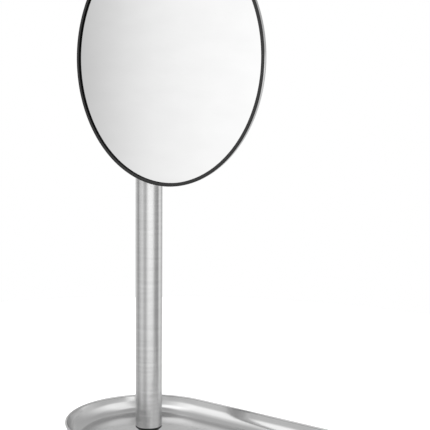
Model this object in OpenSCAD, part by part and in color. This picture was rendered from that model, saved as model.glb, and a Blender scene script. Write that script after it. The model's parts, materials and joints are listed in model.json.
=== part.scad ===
// Extendable shaving mirror: a round mirror on a telescopic column that stands at one end of a
// stadium-shaped stainless tray. Millimetres, +Z up, the origin under the column on the rest face.
// The tray runs from the column towards -Y, and the mirror looks towards -X.

/* [Tray] */
// Outer radius of the tray's rounded ends, over the rolled rim
tray_r = 63.2; // [50:0.1:90]
// Distance between the centres of the two rounded ends
tray_straight = 130; // [80:1:220]
// Thickness of the tray's sheet
tray_sheet = 1; // [0.6:0.1:1.5]
// Depth from the top of the rim to the tray's floor
tray_depth = 12.7; // [8:0.1:25]
// Inside radius of the cove between wall and floor
cove_r = 11; // [4:0.5:20]
// Thickness of the rolled rim
rim_t = 1.6; // [1.2:0.1:3]
// How far the wall leans outwards
wall_lean = 15; // [0:1:25]
// Distance from the origin's end centre to the column's axis, along the tray
column_shift = 0; // [-15:0.5:15]

/* [Plinth] */
// Thickness of the rubber pad that the part stands on
pad_t = 1.2; // [0.8:0.1:3]
// Thickness of the plastic cover's floor and wall
cover_t = 1.2; // [1:0.1:2.5]
// Thickness of the steel ballast plate
plate_t = 5.9; // [5:0.1:12]
// How far the plinth stands in from the tray's rim
plinth_inset = 11; // [9:0.5:25]

/* [Column] */
// Outer diameter of the column's tube
tube_d = 20; // [18:0.5:32]
// Wall of the column's tube
tube_wall = 1; // [0.8:0.1:2]
// Outer diameter of the inner post
post_d = 12; // [9:0.1:14.5]
// Wall of the inner post
post_wall = 1.5; // [1:0.1:2]
// Height of the tilt axis above the rest face, with the column pushed down
pivot_z = 291.7; // [230:0.1:420]
// Height of the bare collar that shows between tray and column
collar_h = 3.1; // [2:0.1:20]
// Wall of that collar, round the post
collar_wall = 1.05; // [0.5:0.05:1.5]
// Travel of the column on the post
stroke = 110; // [40:1:120]

/* [Mirror] */
// Outer diameter of the mirror's bezel
mirror_d = 176.8; // [140:0.1:260]
// Width of the bezel's front lip
lip_w = 2.5; // [1.5:0.1:6]
// How deep the glass lies behind the lip's front
glass_recess = 1.2; // [0.5:0.1:4]
// Thickness of the glass
glass_t = 2; // [2:0.1:5]
// Gap between the column's tube and the mirror's back
back_gap = 2.15; // [2:0.05:12]
// Sideways distance from the column's axis to the centre of the mirror
mirror_offset = 34; // [32:0.5:60]
// Turn of post, column and mirror about the vertical axis
head_turn = -4; // [-180:1:180]

/* [Tilt joint] */
// Diameter of the tilt pin
pin_d = 8; // [6:0.5:10]
// Length of the lug that turns on the pin
lug_w = 22; // [14:1:30]
// Diameter of the thumb nut
knob_d = 17; // [14:0.5:22]
// Length of the thumb nut
knob_w = 8; // [6:0.5:14]

/* [Fits] */
// Radial clearance of a running fit
run_gap = 0.05; // [0.02:0.01:0.1]
// Gap between faces that pass each other without touching
free_gap = 0.3; // [0.2:0.05:0.6]

/* [Hidden] */
$fn = 96;
eps = 0.01;

// Heights of the base's layers
cover_z = pad_t;
plate_z = cover_z + cover_t;
sheet_z = plate_z + plate_t;
floor_z = sheet_z + tray_sheet;
rim_z = floor_z + tray_depth;
plinth_r = tray_r - plinth_inset;
plate_r = plinth_r - cover_t - 0.2;
bead_r = max(rim_t, tray_sheet) / 2;
bead_at = [tray_r - bead_r, rim_z - bead_r];
wall_in = [-cos(wall_lean), sin(wall_lean)];
cove = min(cove_r, (tray_depth - bead_r) / (1 - sin(wall_lean)));
cove_z = floor_z + cove;
cove_x = (cove_z * sin(wall_lean) - bead_at * wall_in - tray_sheet / 2 - cove) / cos(wall_lean);

// Swivel at the foot of the post
washer_t = 0.6;
shoulder_r = 4;
bush_r = 5.5;
seat_r = 9;
seat_z = sheet_z - 1.8;
disc_washer_t = 1;
bolt_head_t = seat_z - disc_washer_t - washer_t - plate_z - free_gap;
bolt_head_r = 6.5;
bolt_socket_r = 2.3;
bolt_socket_h = 2.2;
thread_r = 2.5;
post_z = floor_z + washer_t;
plug_h = 22;

// Column
tube_r = tube_d / 2;
bore_r = tube_r - tube_wall;
post_r = post_d / 2;
collar_r = post_r + collar_wall;
bush_z = post_z + collar_h + 0.05;
bush_lip = 1.6;
bush_taper = 2.6;
bush_edge = 0.6;
tube_z = bush_z + bush_taper + bush_lip;
bush_len = 20;
stop_z = tube_z + bush_len + stroke + 0.1;
stop_len = 36;
guide_z = stop_z + stop_len;
guide_len = 22;
key_w = 3;
key_d = 0.8;
brake_depth = 0.44 * (bore_r - run_gap - post_r);
brake_t = 2;
cap_t = 1.2;
pin_r = pin_d / 2;
tube_top = pivot_z + pin_r + 1.8;
block_h = pin_d + 22;
slide_top = guide_z + guide_len;

// Tilt joint, measured along the pin from the column's axis
lug_start = mirror_offset - lug_w / 2;
lug_end = mirror_offset + lug_w / 2;
slip = 0.05;
nylon_t = 0.8;
spring_t = 0.9;
head_t = 2.5;
knob_start = lug_end + nylon_t + spring_t;
knob_edge = 1;
knob_cap = 2;
grips = 20;
grip_r = 0.9;
grip_out = 0.3;

// Back shell: flat in the middle, a shallow cone, then an edge rolled round to the bezel's seam.
// Everything is measured forwards from the tilt axis, and clears both the tube and the thumb nut.
mirror_r = mirror_d / 2;
foot_t = 2;
shell_t = 0.7;
shell_slope = 4;
shell_flat_r = 40;
shell_edge_r = glass_recess + glass_t + 2.6;
shell_x = mirror_r - shell_edge_r;
shell_arc_end = 90 - shell_slope;
shell_in_r = shell_x + shell_edge_r * cos(shell_arc_end);
shell_back = max(tube_r + back_gap, knob_d / 2 + foot_t + 1);
shell_cone = (shell_in_r - shell_flat_r) * tan(shell_slope);
shell_seam = shell_back + shell_cone + shell_edge_r * sin(shell_arc_end);
shell_in_end = on_arc([shell_x, shell_seam], shell_edge_r - shell_t, -shell_arc_end);
shell_in_back = shell_in_end[1] - (shell_in_end[0] - shell_flat_r) * tan(shell_slope);

// Bezel, glass and what carries the glass
lip_round = 0.4;
face_d = shell_seam + lip_round + 0.1;
lip_r = mirror_r - lip_w;
glass_front = face_d - glass_recess;
glass_back = glass_front - glass_t;
glass_r = lip_r + 0.5;
tape_t = 0.4;
carrier_front = glass_back - tape_t;
carrier_t = 1.5;

// Lug that carries the head on the pin, and its screws
lug_r = pin_r + 4;
screw_lean = 35;
screw_r = 1.5;
screw_head_r = 2.7;
screw_ring = (lug_r + screw_head_r + 1.2) / cos(screw_lean);
foot_r = screw_ring + 3.5;
boss_r = foot_r + 2;
screw_head_t = 1.6;
screw_sunk = 0.8;

// Small fasteners of the base
cover_screw_r = 1.65;
cover_screw_head_r = 2.9;
cover_screw_inset = 12;
cover_screw_len = 3.9;
stud_r = 2;
nut_r = 4.1;
nut_t = 3.2;
nut_z = plate_z + free_gap;
nut_space_r = 4.5;

// Small parts of the column
set_screw_r = 2;
set_screw_z = pivot_z - 10;
set_socket_r = 1;
set_socket_t = 2;
pin_wall = 3;

// Point at an angle on an arc, in a profile's plane
function on_arc(centre, radius, angle) = centre + radius * [cos(angle), sin(angle)];

// Points of an arc from one angle to another
function arc_points(centre, radius, from, to, steps) =
    [for (i = [0:steps]) on_arc(centre, radius, from + (to - from) * i / steps)];

// Flat stadium outline around the tray's two end centres
module stadium(radius) {
    circle(radius);
    translate([0, -tray_straight]) circle(radius);
    translate([-radius, -tray_straight]) square([2 * radius, tray_straight]);
}

// Stadium-shaped slab
module slab(radius, bottom, height) {
    translate([0, column_shift, bottom])
        linear_extrude(height)
            stadium(radius);
}

// A profile, drawn from the axis outwards, carried round the whole stadium
module around_stadium() {
    translate([0, column_shift, 0]) {
        rotate_extrude(angle = 180) children();
        translate([0, -tray_straight, 0]) rotate([0, 0, 180]) rotate_extrude(angle = 180) children();
        for (side = [0, 1])
            mirror([side, 0, 0])
                rotate([90, 0, 0])
                    linear_extrude(tray_straight) children();
    }
}

// Places of a group's pieces, spread over the plinth away from the swivel
module at_plinth_corners(inset) {
    spread_x = plate_r - inset;
    for (x = [-spread_x, spread_x], y = [0, -tray_straight])
        translate([x, y + column_shift, 0]) children();
}

// A ring standing on a height
module ring(outer, inner, bottom, height) {
    translate([0, 0, bottom])
        difference() {
            cylinder(r = outer, h = height);
            translate([0, 0, -1]) cylinder(r = inner, h = height + 2);
        }
}

// Frame of everything that turns on the swivel
module turned() {
    rotate([0, 0, head_turn]) children();
}

// Frame of the tilt pin: its Z runs along the pin, towards the mirror's centre line
module on_pin(along) {
    turned()
        translate([0, 0, pivot_z])
            rotate([90, 0, 0])
                translate([0, 0, along]) children();
}

// Frame of the mirror's disc: its Z runs forwards out of the glass, its X runs up
module on_disc() {
    turned()
        translate([0, -mirror_offset, pivot_z])
            rotate([0, -90, 0]) children();
}

// Section of the tray's sheet: flat floor, cove, and a leaning wall whose mid-line meets the rolled rim
module tray_section() {
    centre = [cove_x, cove_z];
    polygon(concat(
        [[0, sheet_z], [cove_x, sheet_z]],
        arc_points(centre, cove + tray_sheet, -90, -wall_lean, 16),
        [bead_at - wall_in * tray_sheet / 2, bead_at + wall_in * tray_sheet / 2],
        arc_points(centre, cove, -wall_lean, -90, 16),
        [[0, floor_z]]
    ));
    translate(bead_at) circle(bead_r, $fn = 48);
}

module tray() {
    color("silver")
        difference() {
            around_stadium() tray_section();
            translate([0, 0, sheet_z - 1]) cylinder(r = bush_r, h = tray_sheet + 2);
        }
}

module ballast_plate() {
    color("dimgray")
        difference() {
            slab(plate_r, plate_z, plate_t);
            translate([0, 0, plate_z - 1]) cylinder(r = seat_r, h = seat_z - plate_z + 1);
            translate([0, 0, plate_z]) cylinder(r = bush_r, h = plate_t + 1);
            at_plinth_corners(cover_screw_inset)
                translate([0, 0, plate_z - 1]) cylinder(r = cover_screw_r, h = cover_screw_len + 1.1);
            at_studs() {
                translate([0, 0, plate_z - 1]) cylinder(r = stud_r + 0.1, h = plate_t + 2);
                translate([0, 0, plate_z - 1]) cylinder(r = nut_space_r, h = nut_t + 1 + free_gap);
            }
        }
}

// Places of the tray's studs, on the tray's centre line
module at_studs() {
    for (part = [0.25, 0.6, 0.95])
        translate([0, column_shift - part * tray_straight, 0]) children();
}

module base_cover() {
    color("black")
        difference() {
            slab(plinth_r, cover_z, cover_t + plate_t);
            slab(plate_r + 0.2, plate_z, plate_t + 1);
            translate([0, 0, cover_z - 1]) cylinder(r = seat_r, h = cover_t + 2);
            at_plinth_corners(cover_screw_inset)
                translate([0, 0, cover_z - 1]) cylinder(r = cover_screw_head_r + 0.1, h = cover_t + 2);
        }
}

module non_slip_pad() {
    color("dimgray") slab(plinth_r - 2, 0, pad_t);
}

module cover_screws() {
    color("silver")
        at_plinth_corners(cover_screw_inset) {
            translate([0, 0, cover_z]) cylinder(r = cover_screw_head_r, h = cover_t);
            translate([0, 0, plate_z]) cylinder(r = cover_screw_r, h = cover_screw_len);
        }
}

module tray_studs() {
    color("silver")
        at_studs() translate([0, 0, nut_z + 0.1]) cylinder(r = stud_r, h = sheet_z - nut_z - 0.1);
}

module stud_nuts() {
    color("silver")
        at_studs()
            translate([0, 0, nut_z])
                difference() {
                    cylinder(r = nut_r, h = nut_t, $fn = 6);
                    translate([0, 0, -1]) cylinder(r = stud_r, h = nut_t + 2);
                }
}

module swivel_bush() {
    color("ivory") ring(bush_r, shoulder_r + run_gap, seat_z, floor_z - seat_z);
}

module flat_washer() {
    color("silver") ring(seat_r - 1, shoulder_r + 0.1, seat_z - disc_washer_t, disc_washer_t);
}

module wave_washer() {
    color("silver") ring(seat_r - 2, shoulder_r + 0.3, seat_z - disc_washer_t - washer_t, washer_t);
}

module thrust_washer() {
    color("black") ring(collar_r + 1.2, shoulder_r + 0.1, floor_z, washer_t);
}

module inner_post() {
    color("black")
        turned()
            difference() {
                ring(post_r, post_r - post_wall, post_z, slide_top - post_z);
                translate([post_r - key_d - 0.1, -key_w / 2 - 0.1, post_z + collar_h])
                    cube([2, key_w + 0.2, slide_top]);
            }
}

module post_plug() {
    color("silver") ring(post_r - post_wall, thread_r, post_z, plug_h);
}

module pivot_bolt() {
    head_z = plate_z + free_gap;
    color("silver")
        difference() {
            union() {
                translate([0, 0, head_z]) cylinder(r = bolt_head_r, h = bolt_head_t);
                translate([0, 0, head_z + bolt_head_t - eps])
                    cylinder(r = shoulder_r, h = post_z - head_z - bolt_head_t + eps);
                translate([0, 0, post_z - eps]) cylinder(r = thread_r, h = plug_h - 4);
            }
            translate([0, 0, head_z - 1]) cylinder(r = bolt_socket_r, h = bolt_socket_h, $fn = 6);
        }
}

module foot_collar() {
    color("black") ring(collar_r, post_r, post_z, collar_h);
}

module top_bush() {
    color("ivory")
        difference() {
            ring(bore_r - run_gap, post_r, guide_z, guide_len);
            for (z = brake_heights()) ring(bore_r + 1, bore_r - brake_depth, z, brake_t);
        }
}

// Heights of the brake rings' grooves
function brake_heights() = [guide_z + 5, guide_z + 15];

module brake_rings() {
    color("black")
        for (z = brake_heights()) ring(bore_r - 0.03, bore_r - brake_depth, z + 0.1, brake_t - 0.2);
}

module stop_sleeve() {
    color("silver") ring(bore_r - 0.5, post_r, stop_z, stop_len);
}

module outer_tube() {
    color("silver")
        difference() {
            ring(tube_r, bore_r, tube_z, tube_top - tube_z);
            on_pin(-tube_d) cylinder(r = pin_r, h = 2 * tube_d);
            at_set_screw() cylinder(r = set_screw_r, h = tube_d);
        }
}

// Frame of the set screw: its Z runs out of the column, away from the mirror
module at_set_screw() {
    turned()
        translate([0, 0, set_screw_z])
            rotate([0, 90, 0]) children();
}

module end_bush() {
    taper_z = bush_z + bush_taper;
    bush_top = tube_z + bush_len;
    color("black")
        turned() {
            rotate_extrude()
                polygon([
                    [post_r + run_gap, bush_z], [collar_r, bush_z],
                    [tube_r - bush_edge, taper_z], [tube_r, taper_z + bush_edge],
                    [tube_r, tube_z], [bore_r, tube_z],
                    [bore_r, bush_top], [post_r + run_gap, bush_top]
                ]);
            translate([post_r - key_d, -key_w / 2, tube_z]) cube([key_d + 0.4, key_w, bush_len]);
        }
}

module pivot_block() {
    color("gray")
        difference() {
            translate([0, 0, tube_top - block_h]) cylinder(r = bore_r, h = block_h);
            on_pin(-tube_d) cylinder(r = pin_r, h = 2 * tube_d);
            at_set_screw() cylinder(r = set_screw_r, h = tube_d);
            translate([0, 0, tube_top - block_h - 1]) cylinder(r = 3, h = 8);
        }
}

module top_cap() {
    color("silver")
        translate([0, 0, tube_top])
            cylinder(r1 = tube_r, r2 = tube_r - cap_t, h = cap_t);
}

module tilt_pin() {
    pin_end = knob_start + knob_w - knob_cap;
    color("silver") {
        difference() {
            on_pin(-tube_r - head_t)
                rotate_extrude()
                    polygon([
                        [0, 0], [pin_r + 1, 0], [pin_r + 2, 1], [pin_r + 2, head_t + tube_r / 2],
                        [0, head_t + tube_r / 2]
                    ]);
            translate([0, 0, pivot_z - tube_d]) cylinder(r = tube_r, h = 2 * tube_d);
        }
        on_pin(-tube_r - eps) cylinder(r = pin_r, h = tube_r + pin_end + eps);
    }
}

module set_screw() {
    color("black")
        at_set_screw()
            difference() {
                translate([0, 0, pin_wall]) cylinder(r = set_screw_r, h = bore_r - pin_wall);
                translate([0, 0, bore_r - set_socket_t]) cylinder(r = set_socket_r, h = tube_d, $fn = 6);
            }
}

module spacer_sleeve() {
    color("silver")
        difference() {
            on_pin(0) cylinder(r = pin_r + 2, h = lug_start - nylon_t);
            on_pin(-1) cylinder(r = pin_r, h = lug_start + 2);
            translate([0, 0, pivot_z - tube_d]) cylinder(r = tube_r, h = 2 * tube_d);
        }
}

module friction_washers() {
    color("ivory") {
        on_pin(lug_start - nylon_t) ring(pin_r + 3, pin_r + run_gap, 0, nylon_t - slip);
        on_pin(lug_end + slip) ring(pin_r + 3, pin_r + run_gap, 0, nylon_t - slip);
    }
}

module spring_washer() {
    color("silver") on_pin(lug_end + nylon_t) ring(pin_r + 2.5, pin_r + 0.2, 0, spring_t);
}

module thumb_nut() {
    color("dimgray")
        on_pin(knob_start)
            difference() {
                rotate_extrude()
                    polygon([
                        [0, 0], [knob_d / 2 - knob_edge, 0], [knob_d / 2, knob_edge],
                        [knob_d / 2, knob_w - knob_edge], [knob_d / 2 - knob_edge, knob_w], [0, knob_w]
                    ]);
                translate([0, 0, -1]) cylinder(r = pin_r, h = knob_w - knob_cap + 1);
                for (i = [1:grips])
                    rotate([0, 0, i * 360 / grips])
                        translate([knob_d / 2 + grip_out, 0, -1])
                            cylinder(r = grip_r, h = knob_w + 2, $fn = 24);
            }
}

module bezel() {
    centre = [shell_x, shell_seam];
    skirt_r = shell_edge_r - shell_t - 0.1;
    skirt_end = -asin((shell_seam - glass_back) / skirt_r);
    color("black")
        on_disc()
            rotate_extrude()
                polygon(concat(
                    [[lip_r, glass_front], [lip_r, face_d - 0.2], [lip_r + 0.2, face_d]],
                    arc_points([mirror_r - lip_round, face_d - lip_round], lip_round, 90, 0, 8),
                    [[mirror_r, shell_seam]],
                    arc_points(centre, skirt_r, 0, skirt_end, 6),
                    [[glass_r + 0.05, glass_back], [glass_r + 0.05, glass_front]]
                ));
}

module mirror_glass() {
    color("lightgray") on_disc() translate([0, 0, glass_back]) cylinder(r = glass_r, h = glass_t);
}

module adhesive_pad() {
    color("white")
        on_disc() translate([0, 0, carrier_front]) cylinder(r = glass_r - 3, h = tape_t);
}

module carrier_plate() {
    color("dimgray")
        on_disc()
            difference() {
                union() {
                    translate([0, 0, carrier_front - carrier_t]) cylinder(r = shell_x, h = carrier_t);
                    translate([0, 0, shell_in_back])
                        cylinder(r = boss_r, h = carrier_front - shell_in_back - 1);
                }
                at_lug_screws() translate([0, 0, shell_in_back - 1]) cylinder(r = screw_r, h = 4);
            }
}

// Places of the lug's screws round the centre of the disc
module at_lug_screws() {
    for (side = [0, 180], lean = [-screw_lean, screw_lean])
        rotate([0, 0, side + lean]) translate([screw_ring, 0, 0]) children();
}

module back_shell() {
    centre = [shell_x, shell_seam];
    color("silver")
        on_disc()
            difference() {
                rotate_extrude()
                    polygon(concat(
                        [[0, shell_back], [shell_flat_r, shell_back]],
                        arc_points(centre, shell_edge_r, -shell_arc_end, 0, 16),
                        arc_points(centre, shell_edge_r - shell_t, 0, -shell_arc_end, 16),
                        [[shell_flat_r, shell_in_back], [0, shell_in_back]]
                    ));
                at_lug_screws() translate([0, 0, shell_back - 1]) cylinder(r = screw_r, h = 3);
            }
}

module tilt_lug() {
    head_seat = shell_back - foot_t + screw_sunk;
    color("gray")
        difference() {
            union() {
                on_disc() translate([0, 0, shell_back - foot_t]) cylinder(r = foot_r, h = foot_t);
                on_pin(lug_start) cylinder(r = lug_r, h = lug_w);
                on_disc() translate([-lug_r, -lug_w / 2, 0]) cube([2 * lug_r, lug_w, shell_back - 0.5]);
            }
            on_pin(lug_start - 1) cylinder(r = pin_r + run_gap, h = lug_w + 2);
            on_disc() at_lug_screws() {
                translate([0, 0, -lug_r - 1]) cylinder(r = screw_r, h = shell_back + lug_r + 2);
                translate([0, 0, -lug_r - 1])
                    cylinder(r = screw_head_r + 0.2, h = head_seat + lug_r + 1);
            }
        }
}

module lug_screws() {
    head_seat = shell_back - foot_t + screw_sunk;
    color("silver")
        on_disc()
            at_lug_screws() {
                translate([0, 0, head_seat - screw_head_t]) cylinder(r = screw_head_r, h = screw_head_t);
                translate([0, 0, head_seat - eps]) cylinder(r = screw_r, h = foot_t + 2.5);
            }
}

tray();
ballast_plate();
base_cover();
non_slip_pad();
cover_screws();
tray_studs();
stud_nuts();
swivel_bush();
flat_washer();
wave_washer();
thrust_washer();
inner_post();
post_plug();
pivot_bolt();
foot_collar();
top_bush();
brake_rings();
stop_sleeve();
outer_tube();
end_bush();
pivot_block();
top_cap();
tilt_pin();
set_screw();
spacer_sleeve();
friction_washers();
spring_washer();
thumb_nut();
bezel();
mirror_glass();
adhesive_pad();
carrier_plate();
back_shell();
tilt_lug();
lug_screws();
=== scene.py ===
"""Extendable shaving mirror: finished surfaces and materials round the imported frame, with a small studio.

Sizes are in millimetres in the script and become metres when a mesh is made.
"""

import json
import math
from collections import namedtuple

import bmesh
import bpy
import numpy as np
from mathutils import Matrix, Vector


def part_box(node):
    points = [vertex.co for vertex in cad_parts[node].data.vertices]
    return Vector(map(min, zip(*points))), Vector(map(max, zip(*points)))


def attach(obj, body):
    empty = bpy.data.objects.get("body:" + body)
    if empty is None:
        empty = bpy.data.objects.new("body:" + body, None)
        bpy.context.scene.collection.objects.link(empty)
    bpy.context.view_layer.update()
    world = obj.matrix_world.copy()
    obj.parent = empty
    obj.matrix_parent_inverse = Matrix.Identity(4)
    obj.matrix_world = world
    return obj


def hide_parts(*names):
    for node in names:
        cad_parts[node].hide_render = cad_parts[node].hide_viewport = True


bl_info = {
    "name": "Extendable shaving mirror",
    "version": (1, 0, 0),
    "blender": (4, 5, 0),
    "location": "View3D > Sidebar > Shaving mirror",
    "description": "Builds the tray, telescopic column and round mirror on their frame, and a soft studio",
    "category": "Add Mesh",
}

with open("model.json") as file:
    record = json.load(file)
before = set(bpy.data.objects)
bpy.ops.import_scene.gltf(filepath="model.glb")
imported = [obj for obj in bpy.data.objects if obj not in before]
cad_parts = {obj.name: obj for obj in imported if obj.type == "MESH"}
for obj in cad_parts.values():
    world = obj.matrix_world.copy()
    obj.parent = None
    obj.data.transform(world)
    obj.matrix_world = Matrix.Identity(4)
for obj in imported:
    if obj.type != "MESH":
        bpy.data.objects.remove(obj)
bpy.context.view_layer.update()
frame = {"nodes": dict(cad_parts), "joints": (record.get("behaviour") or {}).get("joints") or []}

MM = 0.001
SHARP_ANGLE = math.radians(40)
MERGE_DISTANCE = 1e-7  # metres
SEGMENTS = 144  # round a turned piece
TUBE_SEGMENTS = 192
RIM_SEGMENTS = 256
SMALL_SEGMENTS = 48
ARC_STEP = math.radians(10)
SUPPORT = 0.12  # from an arc's end to the point that keeps the straight run's shading flat
OVERCUT = 1  # how far a cutter stands past the surface that it opens
INMOST = 0.5  # from a stadium's spine to the end of an outline that is moved on to a hole
Place = namedtuple("Place", "origin x y z")


# ---------------------------------------------------------------- places taken from the frame

def cloud(node):
    """The corner points of a node of the frame, in millimetres."""
    mesh = frame["nodes"][node].data
    points = np.zeros(len(mesh.vertices) * 3)
    mesh.vertices.foreach_get("co", points)
    return points.reshape(-1, 3) / MM


def reach(node, place):
    """Least and greatest distance along a place's axis, and greatest distance from that axis."""
    away = cloud(node) - place.origin
    along = away @ place.z
    out = np.sqrt(np.maximum((away ** 2).sum(1) - along ** 2, 0))
    return along.min(), along.max(), out.max()


def levels(node, place):
    """Every height along a place's axis at which a node has corner points."""
    return np.unique(np.round((cloud(node) - place.origin) @ place.z, 3))


def tilt_places():
    """Places of the tilt pin and of the mirror's disc, from the tilt joint and the glass."""
    tilt = next(joint for joint in frame["joints"] if joint["name"] == "tilt")
    pivot = np.array(tilt["pos_m"]) / MM
    pin = np.array(tilt["axis"]) / np.linalg.norm(tilt["axis"])
    up = np.array([0.0, 0.0, 1.0])
    forward = np.cross(up, pin)
    glass = cloud("mirror_glass")
    centre = (glass.min(0) + glass.max(0)) / 2
    offset = (centre - pivot) @ pin
    return (
        Place(pivot, up, np.cross(-pin, up), -pin),
        Place(pivot + offset * pin, up, np.cross(forward, up), forward),
    )


UPRIGHT = Place(np.zeros(3), *np.eye(3))
ON_PIN, ON_DISC = tilt_places()
QUARTERS = np.radians([45, 135, 225, 315])


# ---------------------------------------------------------------- outlines

def full_turn(count):
    """Angles evenly round a circle, from 0 up to the last one before the full turn."""
    return np.linspace(0, 2 * math.pi, count, endpoint=False)


def arc(centre, radius, start, end):
    """Points on a circle from one angle to another, in degrees: centre + radius (cos a, sin a)."""
    steps = max(2, math.ceil(abs(math.radians(end - start)) / ARC_STEP))
    angle = np.radians(np.linspace(start, end, steps + 1))
    return np.array(centre) + radius * np.column_stack([np.cos(angle), np.sin(angle)])


def rounded(corners):
    """A closed outline whose corners (x, y, radius) are arcs that touch both of their sides.

    The arc's centre lies on the corner's bisector at radius / sin(half angle). Points on it come from
    turning the first touching point's spoke into the second one's. One more point stands just past
    each end of the arc, which keeps the shading of the straight run flat.
    """
    corners = np.array(corners, float)
    outline = []
    for here, before, after in zip(corners, np.roll(corners, 1, 0), np.roll(corners, -1, 0)):
        radius, here = here[2], here[:2]
        if radius == 0:
            outline.append(here)
            continue
        back = (before[:2] - here) / np.linalg.norm(before[:2] - here)
        onward = (after[:2] - here) / np.linalg.norm(after[:2] - here)
        half = math.acos(np.clip(back @ onward, -1, 1)) / 2
        setback = radius / math.tan(half)
        middle = (back + onward) / np.linalg.norm(back + onward)
        centre = here + middle * radius / math.sin(half)
        first = here + back * setback - centre
        last = here + onward * setback - centre
        turn = math.pi - 2 * half
        share = np.linspace(0, 1, max(2, math.ceil(turn / ARC_STEP)) + 1)[:, None]
        spokes = (np.sin((1 - share) * turn) * first + np.sin(share * turn) * last) / math.sin(turn)
        outline.append(here + back * (setback + SUPPORT))
        outline.extend(centre + spokes)
        outline.append(here + onward * (setback + SUPPORT))
    return np.array(outline)


def ring_outline(inner, outer, bottom, top, edge=0.15):
    """Section of a plain ring with softened edges."""
    return rounded([(inner, bottom, edge), (outer, bottom, edge), (outer, top, edge), (inner, top, edge)])


# ---------------------------------------------------------------- surfaces

def surface(name, points, wrap_rows=True):
    """A mesh through a grid of points, in rows and columns, that is closed both ways.

    Each face joins four neighbours of the grid. The columns always close on themselves, and the rows do
    when wrap_rows is set; otherwise the first and last rows are poles. The signed volume under the faces
    says whether they point outwards. The map holds the distance along the columns and along the rows.
    """
    rows, columns = points.shape[:2]
    row, column = np.meshgrid(np.arange(rows if wrap_rows else rows - 1), np.arange(columns), indexing="ij")
    next_row, next_column = (row + 1) % rows, (column + 1) % columns
    quads = np.stack(
        [row * columns + column, row * columns + next_column,
         next_row * columns + next_column, next_row * columns + column], -1).reshape(-1, 4)
    round_steps = np.linalg.norm(np.roll(points, -1, 1) - points, axis=2).max(0)
    along_steps = np.linalg.norm(np.roll(points, -1, 0) - points, axis=2).max(1)
    u = np.concatenate([[0], np.cumsum(round_steps)]) * MM
    v = np.concatenate([[0], np.cumsum(along_steps)]) * MM
    uv = np.stack(
        [np.stack([u[column], v[row]], -1), np.stack([u[column + 1], v[row]], -1),
         np.stack([u[column + 1], v[row + 1]], -1), np.stack([u[column], v[row + 1]], -1)], -2)
    uv = uv.reshape(-1, 4, 2)
    flat = points.reshape(-1, 3) * MM
    a, b, c, d = (flat[quads[:, i]] for i in range(4))
    volume = (a * np.cross(b, c)).sum() + (a * np.cross(c, d)).sum()
    if volume < 0:
        quads, uv = quads[:, ::-1], uv[:, ::-1]
    mesh = bpy.data.meshes.new(name)
    mesh.from_pydata(flat, [], quads)
    mesh.uv_layers.new(name="UVMap").data.foreach_set("uv", uv.ravel())
    return finish_mesh(mesh)


def finish_mesh(mesh):
    """Merges the doubles at poles and spines, and shades smooth up to the sharp edges."""
    work = bmesh.new()
    work.from_mesh(mesh)
    bmesh.ops.remove_doubles(work, verts=work.verts, dist=MERGE_DISTANCE)
    bmesh.ops.delete(work, geom=[edge for edge in work.edges if not edge.link_faces], context="EDGES")
    work.to_mesh(mesh)
    work.free()
    mesh.shade_smooth()
    mesh.set_sharp_from_angle(angle=SHARP_ANGLE)
    piece = bpy.data.objects.new(mesh.name, mesh)
    bpy.context.scene.collection.objects.link(piece)
    return piece


def lathe(name, outline, place, angles=SEGMENTS, extra=0.0):
    """An outline turned round a place's axis.

    The point at angle a and outline point (r, h) is origin + (r + extra) (x cos a + y sin a) + h z.
    extra is added to the radii, and is a grid of rows by angles where the piece isn't round.
    """
    if isinstance(angles, int):
        angles = full_turn(angles)
    outline = np.asarray(outline)
    spokes = np.cos(angles)[:, None] * place.x + np.sin(angles)[:, None] * place.y
    radii = outline[:, :1] + extra
    radii = np.broadcast_to(radii, (len(outline), len(angles)))
    points = place.origin + radii[..., None] * spokes + outline[:, 1, None, None] * place.z
    open_ends = outline[0, 0] < 1e-6 and outline[-1, 0] < 1e-6
    return surface(name, points, wrap_rows=not open_ends)


def hexagonal(outline, rows, half_flats, angles):
    """Radii to add to some rows of an outline, so that a socket's round becomes a hexagon.

    A flat whose middle is half_flats from the axis is met at half_flats / cos(angle from that middle).
    """
    extra = np.zeros((len(outline), len(angles)))
    from_middle = (angles + math.pi / 6) % (math.pi / 3) - math.pi / 6
    extra[rows] = half_flats / np.cos(from_middle) - half_flats
    return extra


def joined(name, pieces):
    """Several loose solids as one piece."""
    work = bmesh.new()
    for piece in pieces:
        work.from_mesh(piece.data)
        bpy.data.objects.remove(piece)
    mesh = bpy.data.meshes.new(name)
    work.to_mesh(mesh)
    work.free()
    return finish_mesh(mesh)


def drilled(piece, cutters):
    """The piece with each cutter's shape taken out of it."""
    for cutter in cutters:
        cut = piece.modifiers.new("Bore", "BOOLEAN")
        cut.operation = "DIFFERENCE"
        cut.solver = "EXACT"
        cut.object = cutter
    bpy.context.view_layer.update()
    graph = bpy.context.evaluated_depsgraph_get()
    mesh = bpy.data.meshes.new_from_object(piece.evaluated_get(graph))
    piece.modifiers.clear()
    piece.data = mesh
    mesh.shade_smooth()
    mesh.set_sharp_from_angle(angle=SHARP_ANGLE)
    for cutter in cutters:
        bpy.data.objects.remove(cutter)
    return piece


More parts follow.
